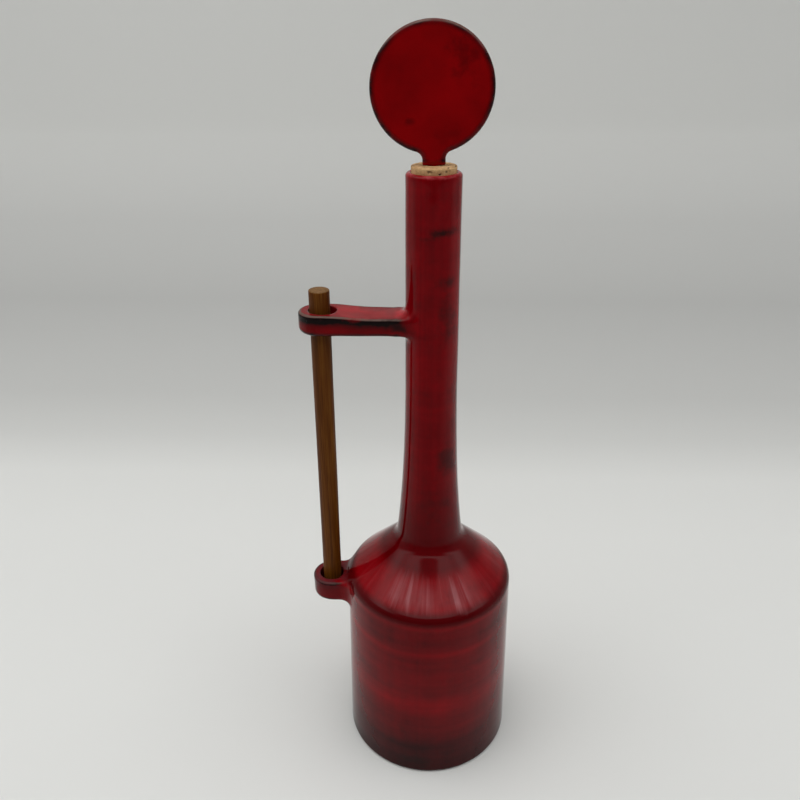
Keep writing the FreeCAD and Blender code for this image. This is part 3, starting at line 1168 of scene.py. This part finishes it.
def studio_sheet():
    """One seamless sheet: floor, a soft sweep and a backdrop."""
    clear_selection()
    bpy.ops.mesh.primitive_plane_add(size=1, location=(0, 0, 0))
    sheet = bpy.context.object
    sheet.name = "studio_sheet"
    mesh = sheet.data
    line = [(floor_near, 0.0), (sweep_start, 0.0)]
    for step in range(1, sweep_steps + 1):
        turn = pi / 2 * step / sweep_steps
        line.append((sweep_start + sweep_radius * sin(turn), sweep_radius * (1 - cos(turn))))
    line.append((sweep_start + sweep_radius, wall_top))
    work = bmesh.new()
    rows = []
    for y, z in line:
        rows.append([work.verts.new((side * stage_half_width, y, z)) for side in (-1, 1)])
    for low, high in zip(rows, rows[1:]):
        work.faces.new((low[0], low[1], high[1], high[0]))
    work.to_mesh(mesh)
    work.free()
    for face in mesh.polygons:
        face.use_smooth = True
    mesh.materials.clear()
    mesh.materials.append(sheet_material())


def sheet_material():
    """Matt, faintly warm paper, whose level changes from its near end to its top: a painted
    fall-off of the light, dim on the near floor, brightest round the bottle, dimmer in the sweep
    and brighter up the backdrop.
    """
    material, tree, shader = new_material(
        "matt_white_sheet", {"Roughness": 0.9, "Specular IOR Level": 0.1})
    point = split(tree, node(tree, "ShaderNodeTexCoord").outputs["Object"])
    along = total(tree, product(tree, total(tree, point["Y"], point["Z"]), 0.5), 0.5)
    shade = ramp(tree, along, [
        (place, tuple(level * part for part in sheet_tint)) for place, level in sheet_levels
    ])
    link(tree, shade, shader.inputs["Base Color"])
    return material


def overhead_lamp():
    lamp = bpy.data.lights.new("overhead_softbox", "AREA")
    lamp.shape = "RECTANGLE"
    lamp.size = lamp_size
    lamp.size_y = lamp_size
    lamp.energy = lamp_power
    holder = bpy.data.objects.new("overhead_softbox", lamp)
    bpy.context.collection.objects.link(holder)
    holder.location = lamp_place
    aim = Vector(lamp_aim) - Vector(lamp_place)
    holder.rotation_euler = aim.to_track_quat("-Z", "Y").to_euler()


def studio_air():
    """A soft dome, dimmer low in front, with one bright patch high in front and one at each
    side. The camera itself sees a plain pale colour."""
    world = bpy.data.worlds.new("studio_air")
    bpy.context.scene.world = world
    world.use_nodes = True
    tree = world.node_tree
    point = split(tree, node(tree, "ShaderNodeTexCoord").outputs["Generated"])
    up = point["Z"]
    ahead = total(tree, product(tree, point["Y"], -0.5), 0.5)
    across = math_node(tree, "ABSOLUTE", point["X"])

    def lobe(source, *stops):
        return ramp(tree, source, stops, ease=True)

    dome = ramp(tree, up, [(0.0, 0.38), (0.40, 0.44), (0.66, 0.42), (0.78, 0.30),
                           (0.85, 0.35), (0.91, 1.35), (1.0, 1.85)])
    dusk = product(tree, lobe(up, (0.62, 1.0), (0.80, 0.0)),
                   lobe(ahead, (0.55, 0.0), (0.85, 1.0)), -0.26)
    window = product(tree, lobe(up, (0.64, 0.0), (0.74, 1.0), (0.790, 1.0), (0.808, 0.0)),
                     lobe(ahead, (0.25, 0.5), (0.75, 1.75)))
    flank = product(tree, lobe(across, (0.50, 0.0), (0.78, 1.0)),
                    lobe(up, (0.42, 0.0), (0.60, 1.9), (0.76, 0.0)))
    level = total(tree, dome, dusk, window, flank)
    seen = node(tree, "ShaderNodeLightPath").outputs["Is Camera Ray"]
    air = tree.nodes["Background"]
    link(tree, blend_colour(tree, seen, level, backdrop_colour), air.inputs["Color"])
    air.inputs["Strength"].default_value = 1.0


def add_camera():
    lens = bpy.data.cameras.new("view_camera")
    lens.lens = camera_lens
    lens.sensor_width = 36.0
    lens.clip_start = 0.01
    camera = bpy.data.objects.new("view_camera", lens)
    bpy.context.collection.objects.link(camera)
    turn = Euler((pi / 2 - camera_tilt, 0, camera_pan)).to_matrix()
    turn = turn @ Matrix.Rotation(camera_roll, 3, "Z")
    camera.location = camera_place
    camera.rotation_euler = turn.to_euler()
    bpy.context.scene.camera = camera


# ---- putting it together ----

glaze = glaze_group()
patch = patch_group()
soot = (0.012, 0.004, 0.004)
root_highlight_red = (0.52, 0.010, 0.020)
arm_top_lit_red = (0.46, 0.008, 0.014)
lip_highlight_red = (0.46, 0.06, 0.07)
lug_brown = (0.10, 0.016, 0.020)
deep_red = (0.09, 0.0, 0.001)
darker_red = (0.06, 0.0, 0.001)
body_finish = glaze_material("bottle_red_glaze", glaze, {
    "Deep": (0.062, 0.0, 0.001, 1),
    "Bright": (0.22, 0.0, 0.003, 1),
    # Brighter red for pooled glaze and for painted light from above:
    "Pooled And Lit": (0.34, 0.0, 0.004, 1),
    # Pale red for the painted reflection on the front of the shoulder:
    "Milky Sheen": (0.36, 0.12, 0.13, 1),
    "Break": (0.007, 0.003, 0.003, 1),
    "Clouds": 0.40, "Mottle": 0.16, "Bands": 0.55, "Runs": 0.25, "Pooling And Top Light": 0.5,
    "Milky Sheen Amount": 0.75, "Smudges": 0.25, "Dark Foot": 0.85, "Painted Banding": 0.85, "Wear": 1.0,
    "Neck Warmth": 0.6,
}, patch, [
    ((5, -13, 336), (13, 10, 3.2), 0.85, soot),
    ((-4, -14, 333), (5, 4, 2.0), 0.45, soot),
    ((8, -11, 311), (10, 8, 5), 0.65, soot),
    ((8, -11, 289), (9, 9, 15), 0.60, soot),
    ((10, -11, 206), (8, 9, 17), 0.55, soot),
    ((2, -16, 178), (12, 9, 12), 0.40, soot),
    ((-10, -51, 9), (16, 12, 7), 0.55, soot),
    # A painted highlight where the arm's top meets the neck.
    ((-17, -2, 292), (5, 9, 4), 0.7, root_highlight_red),
    ((-18, -10, 286), (10, 6, 4.5), 0.85, soot),
    # Brighter red painted on the arm's top, as light falling from above.
    ((-42, 0, 291), (26, 13, 3.0), 0.45, arm_top_lit_red),
    # A painted highlight round the lip.
    ((0, 0, 363.5), (24, 24, 3.0), 0.8, lip_highlight_red),
    ((-62, 0, 118), (22, 22, 7), 0.85, lug_brown),
    ((-38, -3, 291), (13, 5, 3), 0.30, soot),
])
stopper_finish = glaze_material("stopper_red_glaze", glaze, {
    "Deep": (0.16, 0.0, 0.001, 1),
    "Bright": (0.41, 0.0, 0.002, 1),
    "Break": (0.020, 0.001, 0.002, 1),
    # A pale rim crest, partly a painted highlight along the top of the rim.
    "Crest": (0.17, 0.085, 0.07, 1),
    "Clouds": 0.5, "Mottle": 0.12,
}, patch, [
    ((13, 0, 413), (14, 9, 13), 0.60, deep_red),
    ((-11.5, 0, 386), (3, 9, 2.2), 0.55, darker_red),
    ((9, 0, 380), (11, 9, 7), 0.35, deep_red),
])
grip_finish = wood_material()
cork_finish = cork_material()

for make, stands_for, slot, finish in (
    (glazed_bottle, "bottle", "body_glaze", body_finish),
    (disc_stopper, "stopper_disc", "stopper_glaze", stopper_finish),
    (natural_cork, "cork", "cork", cork_finish),
    (grip_dowel, "handle_dowel", "grip_wood", grip_finish),
):
    piece = make()
    piece.data.materials.clear()
    piece.data.materials.append(finish)
    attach(piece, root_body)
    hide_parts(stands_for)

studio_sheet()
overhead_lamp()
studio_air()
add_camera()
bpy.context.scene.view_settings.view_transform = "Standard"
